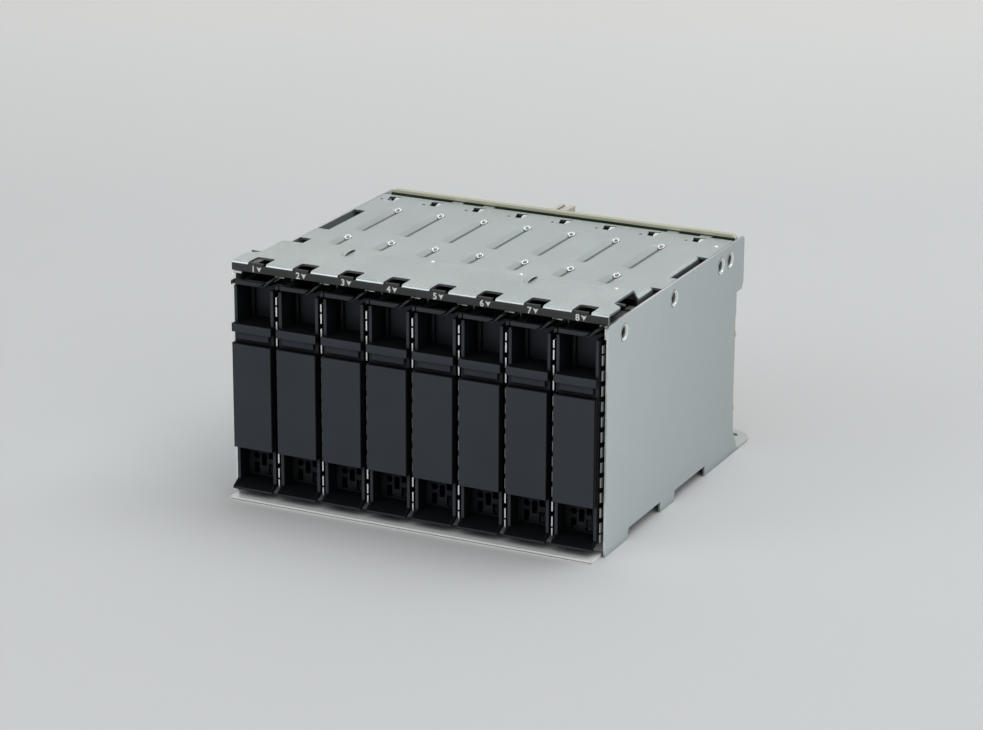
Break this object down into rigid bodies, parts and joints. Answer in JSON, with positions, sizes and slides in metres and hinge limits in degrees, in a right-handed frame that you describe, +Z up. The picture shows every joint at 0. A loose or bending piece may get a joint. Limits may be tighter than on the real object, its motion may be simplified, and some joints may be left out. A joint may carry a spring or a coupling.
{
  "type": "hot swap drive cage",
  "caption": "Sheet metal cage for small drives standing on edge, with a rear backplane and a latched, pull-out filler blank in every bay.",
  "frame": {"origin": "middle of the footprint, on the surface the cage stands on", "axes": "+X across the bays to the right seen from the front, +Y from the front of the cage to its rear, +Z up"},
  "size_m": [0.1406, 0.1444, 0.0842],
  "materials": {
    "zinc_sheet": "zinc coated steel sheet, soft sheen",
    "rivet_steel": "bright plated rivets",
    "screw_steel": "plated screws",
    "label_plastic": "dark grey matt film strip",
    "blank_plastic": "charcoal moulded plastic, fine texture",
    "latch_plastic": "charcoal moulded plastic",
    "board_laminate": "green coated circuit board with a tan edge",
    "connector_black": "black moulded housing",
    "connector_grey": "pale grey moulded housing"
  },
  "bodies": {
    "cage": {"side_wall_right": "zinc_sheet", "side_wall_left": "zinc_sheet", "liner_right": "zinc_sheet", "liner_left": "zinc_sheet", "top_cover": "zinc_sheet", "floor_plate": "zinc_sheet", "label_strip": "label_plastic", "cover_rivets": "rivet_steel", "floor_rivets": "rivet_steel", "divider_1": "zinc_sheet", "divider_2": "zinc_sheet", "divider_3": "zinc_sheet", "divider_4": "zinc_sheet", "divider_5": "zinc_sheet", "divider_6": "zinc_sheet", "divider_7": "zinc_sheet", "backplane_board": "board_laminate", "power_connector": "connector_black", "backplane_screws": "screw_steel", "data_connector_upper": "connector_grey", "data_connector_lower": "connector_grey", "drive_socket_1": "connector_black", "drive_socket_2": "connector_black", "drive_socket_3": "connector_black", "drive_socket_4": "connector_black", "drive_socket_5": "connector_black", "drive_socket_6": "connector_black", "drive_socket_7": "connector_black", "drive_socket_8": "connector_black"},
    "filler_1": {"blank_1": "blank_plastic"},
    "latch_1": {"blank_latch_1": "latch_plastic"},
    "filler_2": {"blank_2": "blank_plastic"},
    "latch_2": {"blank_latch_2": "latch_plastic"},
    "filler_3": {"blank_3": "blank_plastic"},
    "latch_3": {"blank_latch_3": "latch_plastic"},
    "filler_4": {"blank_4": "blank_plastic"},
    "latch_4": {"blank_latch_4": "latch_plastic"},
    "filler_5": {"blank_5": "blank_plastic"},
    "latch_5": {"blank_latch_5": "latch_plastic"},
    "filler_6": {"blank_6": "blank_plastic"},
    "latch_6": {"blank_latch_6": "latch_plastic"},
    "filler_7": {"blank_7": "blank_plastic"},
    "latch_7": {"blank_latch_7": "latch_plastic"},
    "filler_8": {"blank_8": "blank_plastic"},
    "latch_8": {"blank_latch_8": "latch_plastic"}
  },
  "joints": [
    {"name": "filler_1_slide", "type": "slide", "parent": "cage", "child": "filler_1", "axis": [0, -1, 0], "range_m": [0, 0.055]},
    {"name": "latch_1_pivot", "type": "hinge", "parent": "filler_1", "child": "latch_1", "pos_m": [-0.06055, -0.0398, 0.0776], "axis": [1, 0, 0], "range_deg": [0, 4], "stiffness_Nm_per_rad": 0.6},
    {"name": "filler_2_slide", "type": "slide", "parent": "cage", "child": "filler_2", "axis": [0, -1, 0], "range_m": [0, 0.055]},
    {"name": "latch_2_pivot", "type": "hinge", "parent": "filler_2", "child": "latch_2", "pos_m": [-0.04325, -0.0398, 0.0776], "axis": [1, 0, 0], "range_deg": [0, 4], "stiffness_Nm_per_rad": 0.6},
    {"name": "filler_3_slide", "type": "slide", "parent": "cage", "child": "filler_3", "axis": [0, -1, 0], "range_m": [0, 0.055]},
    {"name": "latch_3_pivot", "type": "hinge", "parent": "filler_3", "child": "latch_3", "pos_m": [-0.02595, -0.0398, 0.0776], "axis": [1, 0, 0], "range_deg": [0, 4], "stiffness_Nm_per_rad": 0.6},
    {"name": "filler_4_slide", "type": "slide", "parent": "cage", "child": "filler_4", "axis": [0, -1, 0], "range_m": [0, 0.055]},
    {"name": "latch_4_pivot", "type": "hinge", "parent": "filler_4", "child": "latch_4", "pos_m": [-0.00865, -0.0398, 0.0776], "axis": [1, 0, 0], "range_deg": [0, 4], "stiffness_Nm_per_rad": 0.6},
    {"name": "filler_5_slide", "type": "slide", "parent": "cage", "child": "filler_5", "axis": [0, -1, 0], "range_m": [0, 0.055]},
    {"name": "latch_5_pivot", "type": "hinge", "parent": "filler_5", "child": "latch_5", "pos_m": [0.00865, -0.0398, 0.0776], "axis": [1, 0, 0], "range_deg": [0, 4], "stiffness_Nm_per_rad": 0.6},
    {"name": "filler_6_slide", "type": "slide", "parent": "cage", "child": "filler_6", "axis": [0, -1, 0], "range_m": [0, 0.055]},
    {"name": "latch_6_pivot", "type": "hinge", "parent": "filler_6", "child": "latch_6", "pos_m": [0.02595, -0.0398, 0.0776], "axis": [1, 0, 0], "range_deg": [0, 4], "stiffness_Nm_per_rad": 0.6},
    {"name": "filler_7_slide", "type": "slide", "parent": "cage", "child": "filler_7", "axis": [0, -1, 0], "range_m": [0, 0.055]},
    {"name": "latch_7_pivot", "type": "hinge", "parent": "filler_7", "child": "latch_7", "pos_m": [0.04325, -0.0398, 0.0776], "axis": [1, 0, 0], "range_deg": [0, 4], "stiffness_Nm_per_rad": 0.6},
    {"name": "filler_8_slide", "type": "slide", "parent": "cage", "child": "filler_8", "axis": [0, -1, 0], "range_m": [0, 0.055]},
    {"name": "latch_8_pivot", "type": "hinge", "parent": "filler_8", "child": "latch_8", "pos_m": [0.06055, -0.0398, 0.0776], "axis": [1, 0, 0], "range_deg": [0, 4], "stiffness_Nm_per_rad": 0.6}
  ]
}
